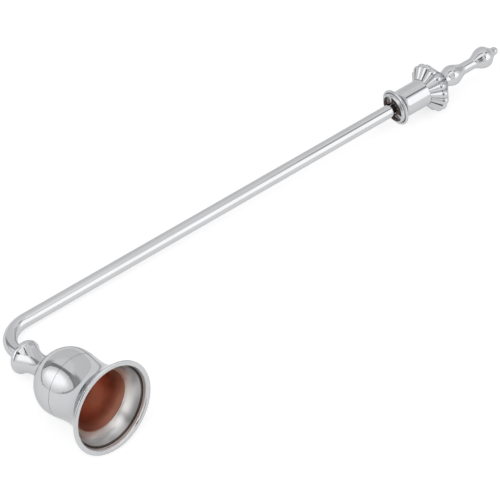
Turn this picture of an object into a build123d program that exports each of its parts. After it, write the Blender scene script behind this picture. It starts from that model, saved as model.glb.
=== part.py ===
from build123d import *
import os
from math import acos, asin, atan2, cos, degrees, radians, sin, sqrt, tan

# A long-handled candle snuffer in millimetres, lying on a table. The rod runs along X, +Z is up.
# It is drawn flat first, with the rod on X and the bell's axis in the XY plane, and then laid down.

# Rod: one bar, bent near the bell, with a thinner threaded spigot at each end
rod_diameter = 5.5
spigot_diameter = 4.0
bend_angle = 81.0            # between the handle and the bell's axis, in degrees
bend_radius = 12.0           # of the bar's centre line
rod_straight = 179.6         # from the end of the bend to the handle's mouth
rod_neck = 2.2               # bare bar between the bend and the collar

# Bell: a skirt and a dome lapped at a seam; heights are measured from the mouth's plane
mouth_radius = 18.65
lip_thickness = 0.9
lip_flat_width = 1.2
lip_round_width = 0.6        # of the round from the lip's flat into the mouth
lip_round_depth = 1.7
funnel_edge_height = 1.8     # where the inside of the flare starts, behind a narrow groove
funnel_groove_depth = 0.5
bell_wall = 1.2
waist_radius = 12.63
waist_height = 14.75
seam_above_waist = 5.25
lap_length = 2.0
shoulder_above_waist = 9.45
shoulder_radius = 13.4
dome_rise = 11.6             # of the dome's ellipse above the shoulder
dome_land_radius = 5.0       # flat on which the collar stands

# Liner: a spun cup inside the bell, open at the mouth
liner_wall = 0.3
liner_rim_height = 7.5

# Collar: a turned spool between the bell and the rod
collar_height = 14.6
collar_foot_radius = 5.4
collar_foot_edge = 0.4
collar_waist_radius = 4.32
collar_waist_height = 5.3
collar_lip_radius = 6.75
collar_lip_drop = 1.9        # from the collar's top down to its widest edge
collar_lip_round = 0.9       # height of the round under that edge
collar_top_radius = 4.4
collar_floor = 3.0

# Fastening inside the bell
washer_radius = 3.8
washer_margin = 0.5          # of flat left round the washer
washer_thickness = 0.8
nut_across_flats = 7.0
nut_thickness = 3.2
spigot_past_nut = 1.0

# Ferrule: a sleeve with a flared, beaded rim; places are measured from the cap's front
ferrule_length = 15.8
sleeve_radius = 5.77
sleeve_wall = 0.6
flange_radius = 7.74
flange_bead_radius = 0.57
flange_setback = 1.05        # of the bead's front behind the cap's front
flange_flare_length = 3.9    # from the bead's front to the plain sleeve

# Cap: a domed ring seated in the ferrule's rim, with pointed prongs that reach in towards the rod
cap_front_radius = 5.95
cap_front_width = 0.35
cap_edge_height = 1.4        # of the dome's edge behind the cap's front
cap_seat = 2.1
prong_count = 3
prong_width = 1.7            # at the ring
prong_tip_width = 0.4
prong_thickness = 0.8
prong_turn = -8.0            # of the first prong about the rod, in degrees

# Crown: gadroons, each a ball on the rim with a rib that tapers towards the axis on either side
lobe_count = 16
crown_radius = 10.6
lobe_radius = 2.0
seat_to_rim = 4.1            # from the ferrule's end to the plane of the rim
front_slant = 45.0           # of the ribs against the plane of the rim, in degrees
back_slant = 47.2
rib_share = 0.85             # of a rib's taper that is kept
boss_length = 2.2
crown_back = 6.5             # from the plane of the rim to the flat under the finial

# Finial: a turned baluster; each station is a swell or a hollow, measured from its base
finial_base_radius = 3.45
finial_neck_radius = 3.35
finial_neck_height = 0.9
ball_radius = 4.3
ball_height = 4.7
shaft_front_radius = 2.42
shaft_front_height = 11.3
shaft_back_radius = 2.37
shaft_back_height = 15.0
bulb_radius = 4.53
bulb_height = 21.9
bulb_end_radius = 2.62       # where the bulb's back runs out into the tip's neck
bulb_end_height = 25.55
tip_neck_radius = 1.69
tip_radius = 1.72
tip_height = 27.73
tip_slope = 0.35             # of the outline where it runs into the tip's ball, in radius per height
spigot_in_finial = 8.0

# Clearances
slip_gap = 0.05              # radial, between pieces that slide together by hand
thread_gap = 0.04            # radial, between a spigot and its nut or finial
bore_gap = 0.12              # radial, where a spigot passes through freely
seam_gap = 0.12              # of the fine line between the dome and the skirt
liner_gap = 0.1              # between the liner and the bell's wall
prong_gap = 0.45             # between a prong's tip and the rod
end_gap = 0.5               # beyond a spigot's end in its blind hole

# Turns taken to find the plane that the finished snuffer rests on
settling_rounds = 40

# Heights along the bell's axis
rod_radius = rod_diameter / 2
spigot_radius = spigot_diameter / 2
thread_bore = spigot_radius + thread_gap
free_bore = spigot_radius + bore_gap
lip_edge = mouth_radius - lip_thickness / 2
lip_flat_radius = lip_edge - lip_flat_width
lip_inner_radius = lip_flat_radius - lip_round_width
funnel_groove_height = funnel_edge_height + funnel_groove_depth
flare_spread = lip_edge - waist_radius
flare_radius = (flare_spread**2 + (waist_height - lip_thickness) ** 2) / (2 * flare_spread)
seam_height = waist_height + seam_above_waist
lap_height = seam_height + lap_length
shoulder_height = waist_height + shoulder_above_waist
land_height = shoulder_height + dome_rise * sqrt(1 - (dome_land_radius / shoulder_radius) ** 2)
ceiling_height = land_height - bell_wall
collar_floor_height = land_height + collar_floor
liner_flat = washer_radius + washer_margin
ceiling_flat = liner_flat + liner_wall
washer_height = ceiling_height - liner_wall - washer_thickness
nut_height = washer_height - nut_thickness
spigot_end_height = nut_height - spigot_past_nut
bend_length = bend_radius / tan(radians(bend_angle / 2))
mouth_reach = land_height + collar_height + rod_neck + bend_length

# Places along the handle, measured from the cap's front
handle_reach = bend_length + rod_straight
rim_place = ferrule_length + seat_to_rim
boss_place = ferrule_length - boss_length
finial_place = rim_place + crown_back
spigot_end_place = finial_place + spigot_in_finial
sleeve_bore = sleeve_radius - sleeve_wall
bead_ring = flange_radius - flange_bead_radius
bead_height = flange_setback + flange_bead_radius
cap_bore = bead_ring - flange_bead_radius
cap_opening_radius = cap_front_radius - cap_front_width
lobe_ring = crown_radius - lobe_radius

# Frames of the two turned groups: heights run from the mouth to the bend, and from the bend to the tip
bell_axis = Vector(cos(radians(bend_angle)), -sin(radians(bend_angle)), 0)
handle_axis = Vector(1, 0, 0)
bell_place = Plane(bell_axis * mouth_reach, x_dir=(0, 0, 1), z_dir=bell_axis * -1).location
handle_place = Plane(handle_axis * handle_reach, x_dir=(0, 0, 1), z_dir=handle_axis).location


def turned(*edges):
    return revolve(Plane.XZ * make_face(edges), Axis.Z)


def bar(radius, low, high):
    return Pos(0, 0, low) * extrude(Circle(radius), high - low)


def tube(outer, inner, low, high):
    return bar(outer, low, high) - bar(inner, low, high)


# A smooth run between two stations of a turned outline, level with the axis at both
def swell(start, end):
    return Spline(start, end, tangents=[(0, 1), (0, 1)])


# Arc of the skirt's trumpet flare, or of a wall that runs parallel to it
def flare_arc(radius, low, high):
    centre = waist_radius + flare_radius
    heights = (low, (low + high) / 2, high)
    points = [(centre - sqrt(radius**2 - (waist_height - h) ** 2), h) for h in heights]
    return ThreePointArc(*points)


# Part of an ellipse, from its widest point up through an angle
def ellipse_arc(centre_radius, centre_height, width, rise, angle):
    widest = centre_radius + width
    corner = (widest, centre_height + rise * tan(angle / 2))
    end = (centre_radius + width * cos(angle), centre_height + rise * sin(angle))
    return Bezier((widest, centre_height), corner, end, weights=[1, cos(angle / 2), 1])


# Ellipse from the shoulder up to a flat of a given radius and height
def dome_arc(radius, flat_radius, flat_height):
    angle = acos(flat_radius / radius)
    rise = (flat_height - shoulder_height) / sin(angle)
    return ellipse_arc(0, shoulder_height, radius, rise, angle)


def make_bell_shell():
    outer_flare = flare_arc(flare_radius, lip_thickness, waist_height)
    inner_flare = flare_arc(flare_radius + bell_wall, funnel_edge_height, waist_height)
    outer_dome = dome_arc(shoulder_radius, dome_land_radius, land_height)
    inner_dome = dome_arc(shoulder_radius - bell_wall, ceiling_flat, ceiling_height)
    lip_wall = Line((lip_inner_radius, funnel_groove_height), (lip_inner_radius, lip_round_depth))
    return turned(
        Line((lip_flat_radius, 0), (lip_edge, 0)),
        ThreePointArc((lip_edge, 0), (mouth_radius, lip_thickness / 2), (lip_edge, lip_thickness)),
        outer_flare,
        swell(outer_flare @ 1, outer_dome @ 0),
        outer_dome,
        Line(outer_dome @ 1, (free_bore, land_height)),
        Line((free_bore, land_height), (free_bore, ceiling_height)),
        Line((free_bore, ceiling_height), inner_dome @ 1),
        inner_dome,
        Line(inner_flare @ 1, inner_dome @ 0),
        inner_flare,
        Line(inner_flare @ 0, lip_wall @ 0),
        lip_wall,
        ellipse_arc(lip_flat_radius, lip_round_depth, -lip_round_width, -lip_round_depth, radians(90)),
    )


# Everything inside the middle of the bell's wall, or a little outside it, up to the end of the lap
def make_lap_core(gap):
    waist = (waist_radius - bell_wall / 2 + gap, waist_height)
    shoulder = (shoulder_radius - bell_wall / 2 + gap, shoulder_height)
    core = turned(
        Line((0, waist_height), waist),
        Line(waist, shoulder),
        Line(shoulder, (0, shoulder_height)),
        Line((0, shoulder_height), (0, waist_height)),
    )
    return core & bar(mouth_radius, waist_height, lap_height)


# The skirt keeps a thin tongue that slides into a relief in the dome
def make_bell_skirt():
    return make_bell_shell() & (bar(mouth_radius, 0, seam_height) + make_lap_core(0))


def make_bell_dome():
    return make_bell_shell() - (bar(mouth_radius, 0, seam_height + seam_gap) + make_lap_core(slip_gap))


# The liner is straight from the waist to the shoulder, as wide as the narrower of them allows
def make_liner():
    radius = min(waist_radius, shoulder_radius) - bell_wall - liner_gap
    outer_radius = flare_radius + bell_wall + liner_gap
    floor_height = ceiling_height - liner_wall
    outer_flare = flare_arc(outer_radius, liner_rim_height, waist_height)
    inner_flare = flare_arc(outer_radius + liner_wall, liner_rim_height, waist_height)
    outer_dome = dome_arc(radius, liner_flat + liner_wall / 2, ceiling_height)
    inner_dome = dome_arc(radius - liner_wall, liner_flat, floor_height)
    return turned(
        Line(inner_flare @ 0, outer_flare @ 0),
        outer_flare,
        Line(outer_flare @ 1, outer_dome @ 0),
        outer_dome,
        Line(outer_dome @ 1, (free_bore, ceiling_height)),
        Line((free_bore, ceiling_height), (free_bore, floor_height)),
        Line((free_bore, floor_height), inner_dome @ 1),
        inner_dome,
        Line(inner_dome @ 0, inner_flare @ 1),
        inner_flare,
    )


def make_washer():
    return tube(washer_radius, free_bore, washer_height, washer_height + washer_thickness)


def make_nut():
    hexagon = RegularPolygon(nut_across_flats / 2, 6, major_radius=False)
    nut = Pos(0, 0, nut_height) * extrude(hexagon, nut_thickness)
    return nut - bar(thread_bore, nut_height, nut_height + nut_thickness)


def make_collar():
    lip_height = collar_height - collar_lip_drop
    bore = rod_radius + slip_gap
    foot = (collar_foot_radius, collar_foot_edge)
    lip = (collar_lip_radius, lip_height)
    under_lip = (collar_lip_radius - collar_lip_round / 2, lip_height - collar_lip_round)
    crest_width = collar_lip_radius - collar_top_radius
    collar = turned(
        Line((free_bore, 0), (collar_foot_radius, 0)),
        Line((collar_foot_radius, 0), foot),
        ThreePointArc(foot, (collar_waist_radius, collar_waist_height), under_lip),
        TangentArc(lip, under_lip, tangent=(0, -1)),
        ellipse_arc(collar_top_radius, lip_height, crest_width, collar_lip_drop, radians(90)),
        Line((collar_top_radius, collar_height), (bore, collar_height)),
        Line((bore, collar_height), (bore, collar_floor)),
        Line((bore, collar_floor), (free_bore, collar_floor)),
        Line((free_bore, collar_floor), (free_bore, 0)),
    )
    return Pos(0, 0, land_height) * collar


def make_rod():
    start = bell_axis * (mouth_reach - collar_floor_height)
    path = FilletPolyline(start, (0, 0, 0), handle_axis * (handle_reach + boss_place), radius=bend_radius)
    body = sweep(Plane(path @ 0, z_dir=path % 0) * Circle(rod_radius), path)
    bell_spigot = bell_place * bar(spigot_radius, spigot_end_height, collar_floor_height)
    handle_spigot = handle_place * bar(spigot_radius, boss_place, spigot_end_place)
    return body + bell_spigot + handle_spigot


def make_ferrule():
    corner = flange_bead_radius * sin(radians(45))
    bead_inside = (cap_bore, bead_height)
    bead_outside = (flange_radius, bead_height)
    bead_back = (bead_ring, bead_height + flange_bead_radius)
    sleeve_start = (sleeve_radius, flange_setback + flange_flare_length)
    return turned(
        ThreePointArc(bead_inside, (bead_ring, flange_setback), bead_outside),
        ThreePointArc(bead_outside, (bead_ring + corner, bead_height + corner), bead_back),
        TangentArc(sleeve_start, bead_back, tangent=(0, -1)),
        Line(sleeve_start, (sleeve_radius, ferrule_length)),
        Line((sleeve_radius, ferrule_length), (sleeve_bore, ferrule_length)),
        Line((sleeve_bore, ferrule_length), (sleeve_bore, cap_seat)),
        Line((sleeve_bore, cap_seat), (cap_bore, cap_seat)),
        Line((cap_bore, cap_seat), bead_inside),
    )


# A prong is rooted in the middle of the cap's flat front
def make_prong():
    tip = rod_radius + prong_gap
    root = cap_front_radius - cap_front_width / 2
    outline = Polyline(
        (tip, -prong_tip_width / 2),
        (root, -prong_width / 2),
        (root, prong_width / 2),
        (tip, prong_tip_width / 2),
        close=True,
    )
    return extrude(make_face(outline), prong_thickness, dir=(0, 0, 1))


def make_cap():
    edge = (cap_bore - slip_gap, cap_edge_height)
    back = (cap_bore - slip_gap, cap_seat)
    cap = turned(
        Line((cap_opening_radius, 0), (cap_front_radius, 0)),
        TangentArc(edge, (cap_front_radius, 0), tangent=(0, -1)),
        Line(edge, back),
        Line(back, (cap_opening_radius, cap_seat)),
        Line((cap_opening_radius, cap_seat), (cap_opening_radius, 0)),
    )
    for index in range(prong_count):
        cap += Rot(0, 0, prong_turn + index * 360 / prong_count) * make_prong()
    return cap


# One gadroon's ball, drawn out along a tangent cone towards an apex on the axis
def make_rib(apex_height):
    ball = Vector(lobe_ring, 0, 0)
    axis = Vector(0, 0, apex_height) - ball
    half = asin(lobe_radius / axis.length)
    touch = Vector(lobe_radius * cos(half), lobe_radius * sin(half))
    end = touch + (Vector(0, axis.length) - touch) * rib_share
    side = (half - radians(90)) / 2
    outline = turned(
        ThreePointArc((0, -lobe_radius), (lobe_radius * cos(side), lobe_radius * sin(side)), touch),
        Line(touch, end),
        Line(end, (0, end.Y)),
        Line((0, end.Y), (0, -lobe_radius)),
    )
    return Plane(ball, z_dir=axis).location * outline


def make_crown(turn):
    front_apex = -lobe_ring * tan(radians(front_slant))
    back_apex = lobe_ring * tan(radians(back_slant))
    core = turned(
        Line((0, front_apex), (lobe_ring, 0)),
        Line((lobe_ring, 0), (0, back_apex)),
        Line((0, back_apex), (0, front_apex)),
    )
    lobe = make_rib(front_apex) + make_rib(back_apex)
    lobes = [Rot(0, 0, turn + index * 360 / lobe_count) * lobe for index in range(lobe_count)]
    seat = -seat_to_rim
    body = core + lobes
    body -= bar(sleeve_radius + slip_gap, 2 * front_apex, seat)
    body -= bar(crown_radius, crown_back, 2 * back_apex)
    body += bar(sleeve_bore - slip_gap, seat - boss_length, seat)
    body -= bar(free_bore, seat - boss_length, crown_back)
    return Pos(0, 0, rim_place) * body


def make_finial():
    stations = [
        (finial_base_radius, 0),
        (finial_neck_radius, finial_neck_height),
        (ball_radius, ball_height),
        (shaft_front_radius, shaft_front_height),
        (shaft_back_radius, shaft_back_height),
        (bulb_radius, bulb_height),
    ]
    bulb_end = (bulb_end_radius, bulb_end_height)
    tip_neck = (tip_neck_radius, tip_height - sqrt(tip_radius**2 - tip_neck_radius**2))
    end = (0, tip_height + tip_radius)
    finial = turned(
        Line((0, 0), stations[0]),
        *[swell(low, high) for low, high in zip(stations, stations[1:])],
        Spline(stations[-1], bulb_end, tip_neck, tangents=[(0, 1), (-tip_slope, 1)]),
        ThreePointArc(tip_neck, (tip_radius, tip_height), end),
        Line(end, (0, 0)),
    )
    return Pos(0, 0, finial_place) * (finial - bar(thread_bore, 0, spigot_in_finial + end_gap))


# The dome's shoulder, the bend and one gadroon touch the table; these are their lowest points
def touching_points(up):
    shoulder = bell_axis * (mouth_reach - shoulder_height)
    along = up.dot(bell_axis)
    across = up - bell_axis * along
    depth = sqrt((shoulder_radius * across.length) ** 2 + (dome_rise * along) ** 2)
    dome = shoulder - (across * shoulder_radius**2 + bell_axis * along * dome_rise**2) * (1 / depth)
    bend_centre = (bell_axis + handle_axis).normalized() * (bend_radius / sin(radians(bend_angle / 2)))
    bend = bend_centre - Vector(up.X, up.Y).normalized() * bend_radius - up * rod_radius
    rim_centre = handle_axis * (handle_reach + rim_place)
    lobe = rim_centre - Vector(0, up.Y, up.Z).normalized() * lobe_ring - up * lobe_radius
    return dome, bend, lobe


def find_table():
    up = Vector(0, -0.25, 1).normalized()
    for _ in range(settling_rounds):
        dome, bend, lobe = touching_points(up)
        up = (lobe - dome).cross(bend - dome).normalized()
    return Plane(dome, x_dir=handle_axis - up * up.dot(handle_axis), z_dir=up)


table = find_table()
lobe_turn = degrees(atan2(table.z_dir.Y, -table.z_dir.Z))
pieces = {
    "rod": make_rod(),
    "collar": bell_place * make_collar(),
    "bell_dome": bell_place * make_bell_dome(),
    "bell_skirt": bell_place * make_bell_skirt(),
    "bell_liner": bell_place * make_liner(),
    "bell_washer": bell_place * make_washer(),
    "bell_nut": bell_place * make_nut(),
    "ferrule": handle_place * make_ferrule(),
    "ferrule_cap": handle_place * make_cap(),
    "crown": handle_place * make_crown(lobe_turn),
    "finial": handle_place * make_finial(),
}

# Laid on the table, with the middle of the footprint at the origin
laid = {name: table.location.inverse() * piece for name, piece in pieces.items()}
box = Compound(list(laid.values())).bounding_box()
shift = Pos(-(box.min.X + box.max.X) / 2, -(box.min.Y + box.max.Y) / 2, -box.min.Z)
os.makedirs("parts", exist_ok=True)
for name, piece in laid.items():
    export_step(shift * piece, f"parts/{name}.step")
print(f"{len(laid)} pieces, {box.size.X:.2f} x {box.size.Y:.2f} x {box.size.Z:.2f} mm")
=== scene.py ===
import math

import bpy
from mathutils import Matrix, Vector

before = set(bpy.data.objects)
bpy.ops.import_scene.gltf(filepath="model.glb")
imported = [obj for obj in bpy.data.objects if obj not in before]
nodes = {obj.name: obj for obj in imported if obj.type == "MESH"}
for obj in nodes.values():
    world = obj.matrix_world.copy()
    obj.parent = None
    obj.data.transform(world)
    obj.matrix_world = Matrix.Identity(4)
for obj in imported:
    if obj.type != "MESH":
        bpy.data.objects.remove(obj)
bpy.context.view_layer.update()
print("snuffer loaded:", len(nodes), "pieces")

# the two lines that the pieces are turned about, in metres: heights run from the bell's mouth
# up into its dome, and from the handle's front to the finial's tip
bellLine = {"start": (-0.1105856, -0.0338905, 0.0197051), "along": (-0.146156, 0.95298, -0.265456)}
handleLine = {"start": (0.073297, 0.0288271, 0.0098146), "along": (0.999234, 0.0, 0.039141)}


def direction(azimuth, elevation):
    a, e = math.radians(azimuth), math.radians(elevation)
    return Vector((math.sin(a) * math.cos(e), -math.cos(a) * math.cos(e), math.sin(e)))


# where the photograph was taken from
photoView = {
    "place": (-0.4333, -0.4664, 0.74887),
    "yaw": 41.397,
    "pitch": 49.744,
    "roll": 4.866,
    "focal": 2527.1,  # in pixels of the picture
    "picture": 500,
    "sensor": 36.0,  # in millimetres
    "clip": (0.01, 50),
}


def makeCamera(view):
    ahead = direction(180 - view["yaw"], -view["pitch"])
    side = ahead.cross(Vector((0, 0, 1))).normalized()
    top = side.cross(ahead)
    turn = math.radians(view["roll"])
    right = side * math.cos(turn) + top * math.sin(turn)
    up = top * math.cos(turn) - side * math.sin(turn)
    data = bpy.data.cameras.new("photoCamera")
    data.sensor_width = view["sensor"]
    data.lens = view["focal"] / view["picture"] * view["sensor"]
    data.clip_start, data.clip_end = view["clip"]
    camera = bpy.data.objects.new("photoCamera", data)
    matrix = Matrix((right, up, -ahead)).transposed().to_4x4()
    matrix.translation = Vector(view["place"])
    camera.matrix_world = matrix
    bpy.context.scene.collection.objects.link(camera)
    bpy.context.scene.camera = camera


makeCamera(photoView)
bpy.context.scene.view_settings.view_transform = "Standard"
print("camera placed")


# small helpers for node trees
def feed(tree, socket, value):
    if isinstance(value, bpy.types.NodeSocket):
        tree.links.new(value, socket)
    else:
        socket.default_value = value


def addNode(tree, kind, inputs=None, **settings):
    node = tree.nodes.new(kind)
    for key, value in settings.items():
        setattr(node, key, value)
    for socket, value in (inputs or {}).items():
        feed(tree, node.inputs[socket], value)
    return node


def mathNode(tree, operation, first, second=0.0, third=0.0, clamp=False):
    values = {0: first, 1: second, 2: third}
    return addNode(tree, "ShaderNodeMath", values, operation=operation, use_clamp=clamp).outputs[0]


def vectorNode(tree, operation, first, second=(0, 0, 0)):
    node = addNode(tree, "ShaderNodeVectorMath", {0: first}, operation=operation)
    feed(tree, node.inputs["Scale" if operation == "SCALE" else 1], second)
    return node.outputs["Value" if operation in ("DOT_PRODUCT", "LENGTH") else "Vector"]


def rangeNode(tree, value, low, high, toLow=0.0, toHigh=1.0, smooth=False):
    values = {"Value": value, "From Min": low, "From Max": high, "To Min": toLow, "To Max": toHigh}
    kind = "SMOOTHSTEP" if smooth else "LINEAR"
    return addNode(tree, "ShaderNodeMapRange", values, interpolation_type=kind).outputs[0]


def mixColour(tree, factor, first, second):
    # the node has sockets for every kind of data: inputs 6 and 7 and output 2 are its colours
    return addNode(tree, "ShaderNodeMix", {0: factor, 6: first, 7: second}, data_type="RGBA").outputs[2]


def newGroup(name, inputs, outputs):
    tree = bpy.data.node_groups.new(name, "ShaderNodeTree")
    for label, kind, value in inputs:
        socket = tree.interface.new_socket(label, in_out="INPUT", socket_type=kind)
        socket.default_value = value
    for label, kind in outputs:
        tree.interface.new_socket(label, in_out="OUTPUT", socket_type=kind)
    start = tree.nodes.new("NodeGroupInput")
    end = tree.nodes.new("NodeGroupOutput")
    return tree, start.outputs, end.inputs


def placeGroup(tree, group, inputs):
    return addNode(tree, "ShaderNodeGroup", inputs, node_tree=group).outputs


# height along a turning line, distance from it, and whether a face looks in towards it
def makeTurnedPlace(inwardBelow=-0.05):
    tree, given, made = newGroup(
        "turnedPlace",
        [("Start", "NodeSocketVector", (0, 0, 0)), ("Along", "NodeSocketVector", (0, 0, 1))],
        [("Height", "NodeSocketFloat"), ("Radius", "NodeSocketFloat"),
         ("Round", "NodeSocketVector"), ("Inside", "NodeSocketFloat")],
    )
    spot = addNode(tree, "ShaderNodeNewGeometry").outputs
    reach = vectorNode(tree, "SUBTRACT", spot["Position"], given["Start"])
    height = vectorNode(tree, "DOT_PRODUCT", reach, given["Along"])
    out = vectorNode(tree, "SUBTRACT", reach, vectorNode(tree, "SCALE", given["Along"], height))
    outward = vectorNode(tree, "NORMALIZE", out)
    facing = vectorNode(tree, "DOT_PRODUCT", outward, spot["True Normal"])
    tree.links.new(height, made["Height"])
    tree.links.new(vectorNode(tree, "LENGTH", out), made["Radius"])
    tree.links.new(outward, made["Round"])
    tree.links.new(mathNode(tree, "LESS_THAN", facing, inwardBelow), made["Inside"])
    return tree


# fine rings left by turning, brushing and polishing: drawn out round the line, close along it
def makeLatheRings():
    tree, given, made = newGroup(
        "latheRings",
        [("Height", "NodeSocketFloat", 0.0), ("Radius", "NodeSocketFloat", 0.0),
         ("Round", "NodeSocketVector", (0, 0, 0)), ("Pitch", "NodeSocketFloat", 0.0002),
         ("Sweep", "NodeSocketFloat", 1.5)],
        [("Rings", "NodeSocketFloat")],
    )
    travel = mathNode(tree, "ADD", given["Height"], given["Radius"])
    along = mathNode(tree, "DIVIDE", travel, given["Pitch"])
    sweep = vectorNode(tree, "SCALE", given["Round"], given["Sweep"])
    level = addNode(tree, "ShaderNodeCombineXYZ", {"Z": along}).outputs[0]
    spot = vectorNode(tree, "ADD", sweep, level)
    noise = addNode(tree, "ShaderNodeTexNoise", {"Vector": spot, "Scale": 1.0, "Detail": 3.0, "Roughness": 0.6})
    tree.links.new(noise.outputs[0], made["Rings"])
    return tree


# thin film of handling: cloudy patches and short wiping marks that dull the gloss a little
def makeHandling(cloudy=(0.35, 0.75), wiped=(0.6, 0.8)):
    tree, given, made = newGroup(
        "handling",
        [("Clouds", "NodeSocketFloat", 60.0), ("Wipes", "NodeSocketFloat", 900.0)],
        [("Film", "NodeSocketFloat"), ("Wiped", "NodeSocketFloat")],
    )
    spot = addNode(tree, "ShaderNodeNewGeometry").outputs["Position"]
    clouds = addNode(tree, "ShaderNodeTexNoise",
                     {"Vector": spot, "Scale": given["Clouds"], "Detail": 4.0, "Roughness": 0.55})
    stretched = addNode(tree, "ShaderNodeMapping", {"Vector": spot, "Rotation": (0.5, 0.3, 0.9),
                                                    "Scale": (0.08, 1.0, 1.0)}).outputs[0]
    wipes = addNode(tree, "ShaderNodeTexNoise",
                    {"Vector": stretched, "Scale": given["Wipes"], "Detail": 2.0, "Roughness": 0.5})
    tree.links.new(rangeNode(tree, clouds.outputs[0], *cloudy, smooth=True), made["Film"])
    tree.links.new(rangeNode(tree, wipes.outputs[0], *wiped, smooth=True), made["Wiped"])
    return tree


turnedPlace = makeTurnedPlace()
latheRings = makeLatheRings()
handling = makeHandling()


def turnedAbout(tree, line):
    return placeGroup(tree, turnedPlace, {"Start": line["start"], "Along": line["along"]})


def ringsAbout(tree, place, pitch, sweep):
    where = {label: place[label] for label in ("Height", "Radius", "Round")}
    return placeGroup(tree, latheRings, {**where, "Pitch": pitch, "Sweep": sweep})["Rings"]


def handlingMarks(tree, look):
    return placeGroup(tree, handling, {"Clouds": look["clouds"], "Wipes": look["wipes"]})


def newMaterial(name):
    material = bpy.data.materials.new(name)
    material.use_nodes = True
    tree = material.node_tree
    tree.nodes.clear()
    shader = tree.nodes.new("ShaderNodeBsdfPrincipled")
    end = tree.nodes.new("ShaderNodeOutputMaterial")
    tree.links.new(shader.outputs[0], end.inputs["Surface"])
    return material, tree, shader


def bumpNode(tree, height, distance, strength=1.0):
    return addNode(tree, "ShaderNodeBump",
                   {"Height": height, "Distance": distance, "Strength": strength}).outputs[0]


def dress(names, material):
    for name in names:
        slots = nodes[name].data.materials
        slots.clear()
        slots.append(material)


# bright plated metal of the bar, the collar and the handle
barLook = {
    "pieces": ["rod"],
    "line": handleLine,
    "bright": (0.555, 0.56, 0.572, 1),
    "filmed": (0.53, 0.535, 0.547, 1),
    "edgeTint": (0.78, 0.78, 0.79, 1),  # chrome is a little darker where it is seen edge on
    "gloss": 0.035,
    "filmDulls": 0.05,
    "wipesDull": 0.03,
    "clouds": 70.0,
    "wipes": 700.0,
    "ringPitch": 0.012,  # the bar is drawn, so its marks run along it
    "ringSweep": 90.0,
    "ringDepth": 0.0000015,
}
turnedLook = {
    "pieces": ["finial"],
    "line": handleLine,
    "bright": (0.555, 0.56, 0.572, 1),
    "filmed": (0.525, 0.53, 0.542, 1),
    "edgeTint": (0.75, 0.75, 0.76, 1),
    "gloss": 0.045,
    "filmDulls": 0.06,
    "wipesDull": 0.03,
    "clouds": 70.0,
    "wipes": 700.0,
    "ringPitch": 0.00025,
    "ringSweep": 2.0,
    "ringDepth": 0.0000012,
}
collarLook = dict(turnedLook, pieces=["collar"], line=bellLine)
# the cap has a satin finish
capLook = dict(turnedLook, pieces=["ferrule_cap"], gloss=0.26)
# the crown is cast: its rim is buffed bright and the ribs between stay softer
crownLook = dict(turnedLook, pieces=["crown"], softWithin=(0.0072, 0.0092), softDulls=0.09)
# the plating stops inside the sleeve, where the bare brass has gone brown
ferruleLook = dict(
    turnedLook, pieces=["ferrule"], bareWithin=0.0055, bare=(0.75, 0.58, 0.47, 1), bareDulls=0.5,
)


def makeChrome(name, look):
    material, tree, shader = newMaterial(name)
    place = turnedAbout(tree, look["line"])
    marks = handlingMarks(tree, look)
    rings = ringsAbout(tree, place, look["ringPitch"], look["ringSweep"])
    colour = mixColour(tree, marks["Film"], look["bright"], look["filmed"])
    dulled = mathNode(tree, "MULTIPLY_ADD", marks["Film"], look["filmDulls"], look["gloss"])
    dulled = mathNode(tree, "MULTIPLY_ADD", marks["Wiped"], look["wipesDull"], dulled)
    shader.inputs["Metallic"].default_value = 1.0
    if "softWithin" in look:
        ribs = rangeNode(tree, place["Radius"], *look["softWithin"], 1.0, 0.0, smooth=True)
        dulled = mathNode(tree, "MULTIPLY_ADD", ribs, look["softDulls"], dulled)
    if "bare" in look:
        within = mathNode(tree, "LESS_THAN", place["Radius"], look["bareWithin"])
        bore = mathNode(tree, "MULTIPLY", place["Inside"], within)
        colour = mixColour(tree, bore, colour, look["bare"])
        dulled = mathNode(tree, "MULTIPLY_ADD", bore, look["bareDulls"], dulled)
        tree.links.new(mathNode(tree, "SUBTRACT", 1.0, bore), shader.inputs["Metallic"])
    tree.links.new(colour, shader.inputs["Base Color"])
    tree.links.new(dulled, shader.inputs["Roughness"])
    tree.links.new(bumpNode(tree, rings, look["ringDepth"]), shader.inputs["Normal"])
    shader.inputs["Specular Tint"].default_value = look["edgeTint"]
    dress(look["pieces"], material)


makeChrome("chromeBar", barLook)
makeChrome("chromeTurned", turnedLook)
makeChrome("chromeCollar", collarLook)
makeChrome("chromeCap", capLook)
makeChrome("chromeCrown", crownLook)
makeChrome("chromeFerrule", ferruleLook)
print("chrome on the bar, the collar and the handle")

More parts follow.
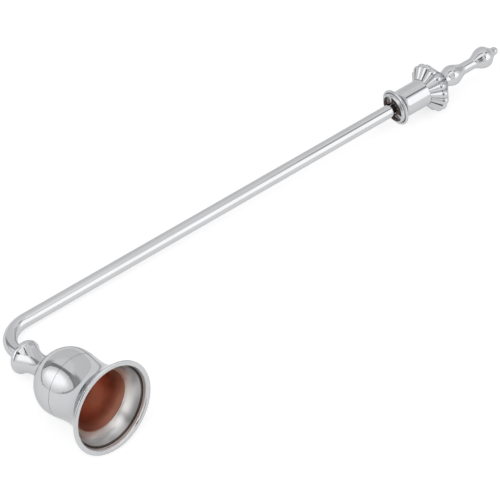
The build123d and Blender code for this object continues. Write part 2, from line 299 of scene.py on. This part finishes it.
# the bell is bright outside and brushed inside its lip, where a painted highlight on the brushing deep inside
# dies away into painted shade towards a groove painted dark as shade
bellLook = {
    "pieces": ["bell_dome", "bell_skirt"],
    "bright": (0.55, 0.555, 0.567, 1),
    "filmed": (0.52, 0.525, 0.537, 1),
    # painted highlight and painted shade: the brushing is near white deep inside and dark towards the lip
    "brushedPaintedHighlight": (0.93, 0.925, 0.92, 1),
    "brushedPaintedShade": (0.38, 0.375, 0.375, 1),
    "streaked": (0.42, 0.415, 0.41, 1),
    "lipInside": (0.8, 0.77, 0.75, 1),
    # painted shade: near-black colour standing in for the shadow in the groove under the lip
    "grooveShade": (0.11, 0.085, 0.07, 1),
    "edgeTint": (0.78, 0.78, 0.79, 1),
    "gloss": 0.04,
    "filmDulls": 0.05,
    "wipesDull": 0.03,
    "brushDulls": 0.24,
    "brushMetal": 0.18,  # how much of the mirror the brushing takes away
    "clouds": 55.0,
    "wipes": 600.0,
    "ringPitch": 0.0003,
    "ringSweep": 2.0,
    "ringDepth": 0.0000012,
    "brushPitch": 0.00022,
    "brushSweep": 5.0,
    "brushDepth": 0.00003,
    "streakPitch": 0.0011,
    "streakSweep": 1.2,
    "streakRange": (0.5, 0.72),
    "streakShare": 0.7,
    "lipHeight": 0.0004,
    "groove": (0.0017, 0.0022),  # heights between which the groove is painted dark as shade
    "highlightRise": (0.0024, 0.0065),  # heights over which the painted highlight on the brushing rises
}


def makeBell(name, look):
    material, tree, shader = newMaterial(name)
    place = turnedAbout(tree, bellLine)
    marks = handlingMarks(tree, look)
    rings = ringsAbout(tree, place, look["ringPitch"], look["ringSweep"])
    brush = ringsAbout(tree, place, look["brushPitch"], look["brushSweep"])
    streaks = ringsAbout(tree, place, look["streakPitch"], look["streakSweep"])
    above = mathNode(tree, "GREATER_THAN", place["Height"], look["lipHeight"])
    funnel = mathNode(tree, "MULTIPLY", place["Inside"], above)
    pastLip = mathNode(tree, "GREATER_THAN", place["Height"], look["groove"][0])
    pastGroove = mathNode(tree, "GREATER_THAN", place["Height"], look["groove"][1])
    # painted highlight: the brushing is lit up deeper in and painted shaded towards the lip
    highlightDeep = rangeNode(tree, place["Height"], *look["highlightRise"], smooth=True)
    inside = mixColour(tree, highlightDeep, look["brushedPaintedShade"], look["brushedPaintedHighlight"])
    streaks = rangeNode(tree, streaks, *look["streakRange"], 0.0, look["streakShare"], smooth=True)
    inside = mixColour(tree, streaks, inside, look["streaked"])
    # painted shade: the groove takes the dark colour of a shadow
    inside = mixColour(tree, pastGroove, look["grooveShade"], inside)
    inside = mixColour(tree, pastLip, look["lipInside"], inside)
    outside = mixColour(tree, marks["Film"], look["bright"], look["filmed"])
    tree.links.new(mixColour(tree, funnel, outside, inside), shader.inputs["Base Color"])
    dulled = mathNode(tree, "MULTIPLY_ADD", marks["Film"], look["filmDulls"], look["gloss"])
    dulled = mathNode(tree, "MULTIPLY_ADD", marks["Wiped"], look["wipesDull"], dulled)
    dulled = mathNode(tree, "MULTIPLY_ADD", funnel, look["brushDulls"], dulled)
    tree.links.new(dulled, shader.inputs["Roughness"])
    mirror = rangeNode(tree, funnel, 0.0, 1.0, 1.0, 1.0 - look["brushMetal"])
    tree.links.new(mirror, shader.inputs["Metallic"])
    fine = mathNode(tree, "MULTIPLY", rings, look["ringDepth"])
    coarse = mathNode(tree, "MULTIPLY", mathNode(tree, "MULTIPLY", brush, look["brushDepth"]), funnel)
    tree.links.new(bumpNode(tree, mathNode(tree, "ADD", fine, coarse), 1.0), shader.inputs["Normal"])
    shader.inputs["Specular Tint"].default_value = look["edgeTint"]
    dress(look["pieces"], material)


makeBell("chromeBell", bellLook)
print("bell polished outside and brushed inside")

# copper-coloured cup: brushed round, browner where it was heated, and darkened by painted shade towards its
# dark cut rim
cupLook = {
    "pieces": ["bell_liner"],
    "copper": (0.85, 0.5, 0.385, 1),
    # this brown serves both the heat tint and the painted shade at the rim
    "heatTintAndShade": (0.58, 0.32, 0.24, 1),
    "rimShadeFade": (0.0078, 0.011),  # heights over which the painted shade at the rim dies away
    "cutRim": (0.3, 0.17, 0.12, 1),
    "rimHeight": 0.00756,
    "gloss": 0.3,
    "brushDulls": 0.18,
    "clouds": 110.0,
    "wipes": 500.0,
    "filmHeats": 0.5,
    "bandsHeat": 0.6,
    "brushPitch": 0.00035,
    "brushSweep": 3.0,
    "brushDepth": 0.00003,
    "bandPitch": 0.0042,
    "bandSweep": 1.0,
}


def makeCup(name, look):
    material, tree, shader = newMaterial(name)
    place = turnedAbout(tree, bellLine)
    marks = handlingMarks(tree, look)
    brush = ringsAbout(tree, place, look["brushPitch"], look["brushSweep"])
    bands = ringsAbout(tree, place, look["bandPitch"], look["bandSweep"])
    bands = mathNode(tree, "MULTIPLY", bands, look["bandsHeat"])
    heatTintAndRimShade = mathNode(tree, "MULTIPLY_ADD", marks["Film"], look["filmHeats"], bands, clamp=True)
    # painted shade: the cup is browned darker towards its rim
    edge = rangeNode(tree, place["Height"], *look["rimShadeFade"], 1.0, 0.0, smooth=True)
    heatTintAndRimShade = mathNode(tree, "MAXIMUM", heatTintAndRimShade, edge)
    inside = mixColour(tree, heatTintAndRimShade, look["copper"], look["heatTintAndShade"])
    rim = mathNode(tree, "LESS_THAN", place["Height"], look["rimHeight"])
    tree.links.new(mixColour(tree, rim, inside, look["cutRim"]), shader.inputs["Base Color"])
    dulled = mathNode(tree, "MULTIPLY_ADD", brush, look["brushDulls"], look["gloss"])
    tree.links.new(dulled, shader.inputs["Roughness"])
    tree.links.new(bumpNode(tree, brush, look["brushDepth"]), shader.inputs["Normal"])
    shader.inputs["Metallic"].default_value = 1.0
    dress(look["pieces"], material)


makeCup("copperCup", cupLook)
print("copper cup")

# washer and nut inside the bell
nutLook = {
    "pieces": ["bell_washer", "bell_nut"],
    "steel": (0.5, 0.5, 0.51, 1),
    "oiled": (0.32, 0.31, 0.3, 1),
    "gloss": 0.25,
    "filmDulls": 0.15,
    "clouds": 300.0,
    "wipes": 1500.0,
    "ringPitch": 0.00015,
    "ringSweep": 2.0,
    "ringDepth": 0.00002,
}


def makeSteel(name, look):
    material, tree, shader = newMaterial(name)
    place = turnedAbout(tree, bellLine)
    marks = handlingMarks(tree, look)
    rings = ringsAbout(tree, place, look["ringPitch"], look["ringSweep"])
    tree.links.new(mixColour(tree, marks["Film"], look["steel"], look["oiled"]), shader.inputs["Base Color"])
    dulled = mathNode(tree, "MULTIPLY_ADD", marks["Film"], look["filmDulls"], look["gloss"])
    tree.links.new(dulled, shader.inputs["Roughness"])
    tree.links.new(bumpNode(tree, rings, look["ringDepth"]), shader.inputs["Normal"])
    shader.inputs["Metallic"].default_value = 1.0
    dress(look["pieces"], material)


makeSteel("turnedSteel", nutLook)
print("steel of the fastening")

# white studio: floor, surroundings, softboxes, dark cloth round the camera and grey stands and walls
floorLook = {"size": 6.0, "pale": (0.55, 0.55, 0.55, 1), "glow": 0.62}
roomLook = {"seen": 1.0, "lights": 0.55}
# each panel faces a spot on the table; its angles are seen from there, its soft edges are in metres
# and both run left, right, bottom, top
bellEnd, rodMiddle, handleEnd = (-0.113, -0.015), (-0.02, 0.029), (0.11, 0.03)
panels = {
    "bellSoftbox": {
        "aim": bellEnd, "azimuth": -111, "elevation": 0, "reach": 0.6, "sides": (-40, 46, 2, 60),
        "soft": (0.27, 0.2, 0.33, 0.1), "radiance": 1.72, "lights": True,
    },
    "bellShade": {
        "aim": bellEnd, "azimuth": -140, "elevation": 0, "reach": 0.62, "sides": (-22, 34, 0, 7),
        "soft": (0.1, 0.35, 0.001, 0.06), "radiance": 0.45, "lights": False,
    },
    "bellStand": {
        "aim": bellEnd, "azimuth": -164, "elevation": 0, "reach": 0.65, "sides": (-7, 11, 0, 51),
        "soft": (0.07, 0.05, 0.001, 0.06), "radiance": 0.3, "lights": False,
    },
    "standFoot": {
        "aim": bellEnd, "azimuth": -164, "elevation": 0, "reach": 0.64, "sides": (-15, 10, 0, 40),
        "soft": (0.1, 0.09, 0.001, 0.3), "radiance": 0.42, "lights": False,
    },
    "topLight": {
        "aim": bellEnd, "azimuth": 0, "elevation": 90, "reach": 1.0, "sides": (-35, 28, -20, 14),
        "soft": (0.15, 0.32, 0.15, 0.12), "radiance": 1.42, "lights": True,
    },
    "boom": {
        "aim": (-0.16, 0.23), "azimuth": -35, "elevation": 90, "reach": 0.97, "sides": (-21.4, 21.4, -4, 4),
        "soft": (0.06, 0.05, 0.03, 0.03), "radiance": 0.1, "lights": False,
    },
    "handleSoftbox": {
        "aim": rodMiddle, "azimuth": 36, "elevation": 0, "reach": 0.75, "sides": (-30, 30, 0, 55),
        "soft": (0.1, 0.25, 0.22, 0.03), "radiance": 1.72, "lights": True,
    },
    "handleStand": {
        "aim": handleEnd, "azimuth": 0, "elevation": 0, "reach": 0.8, "sides": (-10, 9, 34, 60),
        "soft": (0.06, 0.06, 0.1, 0.1), "radiance": 0.04, "lights": False,
    },
    "handleBar": {
        "aim": (0.6, -0.13), "azimuth": 0, "elevation": 90, "reach": 1.0, "sides": (-11, 18, -7, 7),
        "soft": (0.08, 0.1, 0.06, 0.06), "radiance": 0.25, "lights": False,
    },
    "cameraCurtain": {
        "aim": (-0.05, 0.0), "azimuth": -37, "elevation": 0, "reach": 0.75, "sides": (-26, 26, 2, 46),
        "soft": (0.12, 0.12, 0.1, 0.1), "radiance": 0.33, "lights": False,
    },
    "cameraCloth": {
        "aim": (-0.05, 0.0), "azimuth": -38, "elevation": 0, "reach": 0.65, "sides": (-11, 11, 22, 64),
        "soft": (0.05, 0.05, 0.12, 0.15), "radiance": 0.03, "lights": False,
    },
    "lensHood": {
        "aim": (-0.13, 0.02), "azimuth": -44, "elevation": 59, "reach": 0.33, "sides": (-15, 15, -7, 7),
        "soft": (0.02, 0.02, 0.02, 0.02), "radiance": 0.03, "lights": False,
    },
    "rightWall": {
        "aim": (0.0, 0.03), "azimuth": 94, "elevation": 0, "reach": 0.9, "sides": (-20, 20, 0, 43),
        "soft": (0.15, 0.15, 0.001, 0.1), "radiance": 0.72, "lights": False,
    },
    "backWall": {
        "aim": bellEnd, "azimuth": 155, "elevation": 0, "reach": 0.9, "sides": (-40, 35, 0, 45),
        "soft": (0.3, 0.2, 0.001, 0.3), "radiance": 0.89, "lights": False,
    },
}


# the white that the camera and the mirroring metal see adds no light to matt surfaces
def seenOrMirrored(tree):
    path = addNode(tree, "ShaderNodeLightPath").outputs
    seen = mathNode(tree, "MAXIMUM", path["Is Camera Ray"], path["Is Glossy Ray"])
    return mathNode(tree, "MAXIMUM", seen, path["Is Transmission Ray"])


def bareMaterial(name):
    material = bpy.data.materials.new(name)
    material.use_nodes = True
    material.node_tree.nodes.clear()
    return material, material.node_tree


def makeFloor(look):
    half = look["size"] / 2
    mesh = bpy.data.meshes.new("floor")
    corners = [(-half, -half, 0), (half, -half, 0), (half, half, 0), (-half, half, 0)]
    mesh.from_pydata(corners, [], [(0, 1, 2, 3)])
    floor = bpy.data.objects.new("floor", mesh)
    bpy.context.scene.collection.objects.link(floor)
    material, tree = bareMaterial("whiteFloor")
    matt = addNode(tree, "ShaderNodeBsdfDiffuse", {"Color": look["pale"]}).outputs[0]
    strength = mathNode(tree, "MULTIPLY", seenOrMirrored(tree), look["glow"])
    glow = addNode(tree, "ShaderNodeEmission", {"Strength": strength}).outputs[0]
    both = addNode(tree, "ShaderNodeAddShader", {0: matt, 1: glow}).outputs[0]
    addNode(tree, "ShaderNodeOutputMaterial", {"Surface": both})
    mesh.materials.append(material)


def makeRoom(look):
    world = bpy.data.worlds.new("whiteRoom")
    world.use_nodes = True
    tree = world.node_tree
    tree.nodes.clear()
    strength = rangeNode(tree, seenOrMirrored(tree), 0.0, 1.0, look["lights"], look["seen"])
    room = addNode(tree, "ShaderNodeBackground", {"Color": (1, 1, 1, 1), "Strength": strength}).outputs[0]
    addNode(tree, "ShaderNodeOutputWorld", {"Surface": room})
    bpy.context.scene.world = world


def makePanel(name, look):
    away = direction(look["azimuth"], look["elevation"])
    side = direction(look["azimuth"] + 90, 0)
    x0, x1, y0, y1 = [look["reach"] * math.tan(math.radians(angle)) for angle in look["sides"]]
    left, right, bottom, top = look["soft"]
    mesh = bpy.data.meshes.new(name)
    mesh.from_pydata([(x0, y0, 0), (x1, y0, 0), (x1, y1, 0), (x0, y1, 0)], [], [(0, 1, 2, 3)])
    material, tree = bareMaterial(name)
    spot = addNode(tree, "ShaderNodeTexCoord").outputs["Object"]
    across = addNode(tree, "ShaderNodeSeparateXYZ", {0: spot}).outputs
    mask = rangeNode(tree, across["X"], x0, x0 + left, smooth=True)
    for axis, edge, inner in (("X", x1, x1 - right), ("Y", y0, y0 + bottom), ("Y", y1, y1 - top)):
        mask = mathNode(tree, "MULTIPLY", mask, rangeNode(tree, across[axis], edge, inner, smooth=True))
    clear = addNode(tree, "ShaderNodeBsdfTransparent").outputs[0]
    glow = addNode(tree, "ShaderNodeEmission", {"Strength": look["radiance"]}).outputs[0]
    cloth = addNode(tree, "ShaderNodeMixShader", {0: mask, 1: clear, 2: glow}).outputs[0]
    addNode(tree, "ShaderNodeOutputMaterial", {"Surface": cloth})
    mesh.materials.append(material)
    panel = bpy.data.objects.new(name, mesh)
    matrix = Matrix((side, away.cross(side), away)).transposed().to_4x4()
    matrix.translation = Vector((*look["aim"], 0)) + away * look["reach"]
    panel.matrix_world = matrix
    panel.visible_camera = False
    panel.visible_shadow = False
    panel.visible_diffuse = look["lights"]
    bpy.context.scene.collection.objects.link(panel)


makeFloor(floorLook)
makeRoom(roomLook)
for name, look in panels.items():
    makePanel(name, look)
print("studio set")
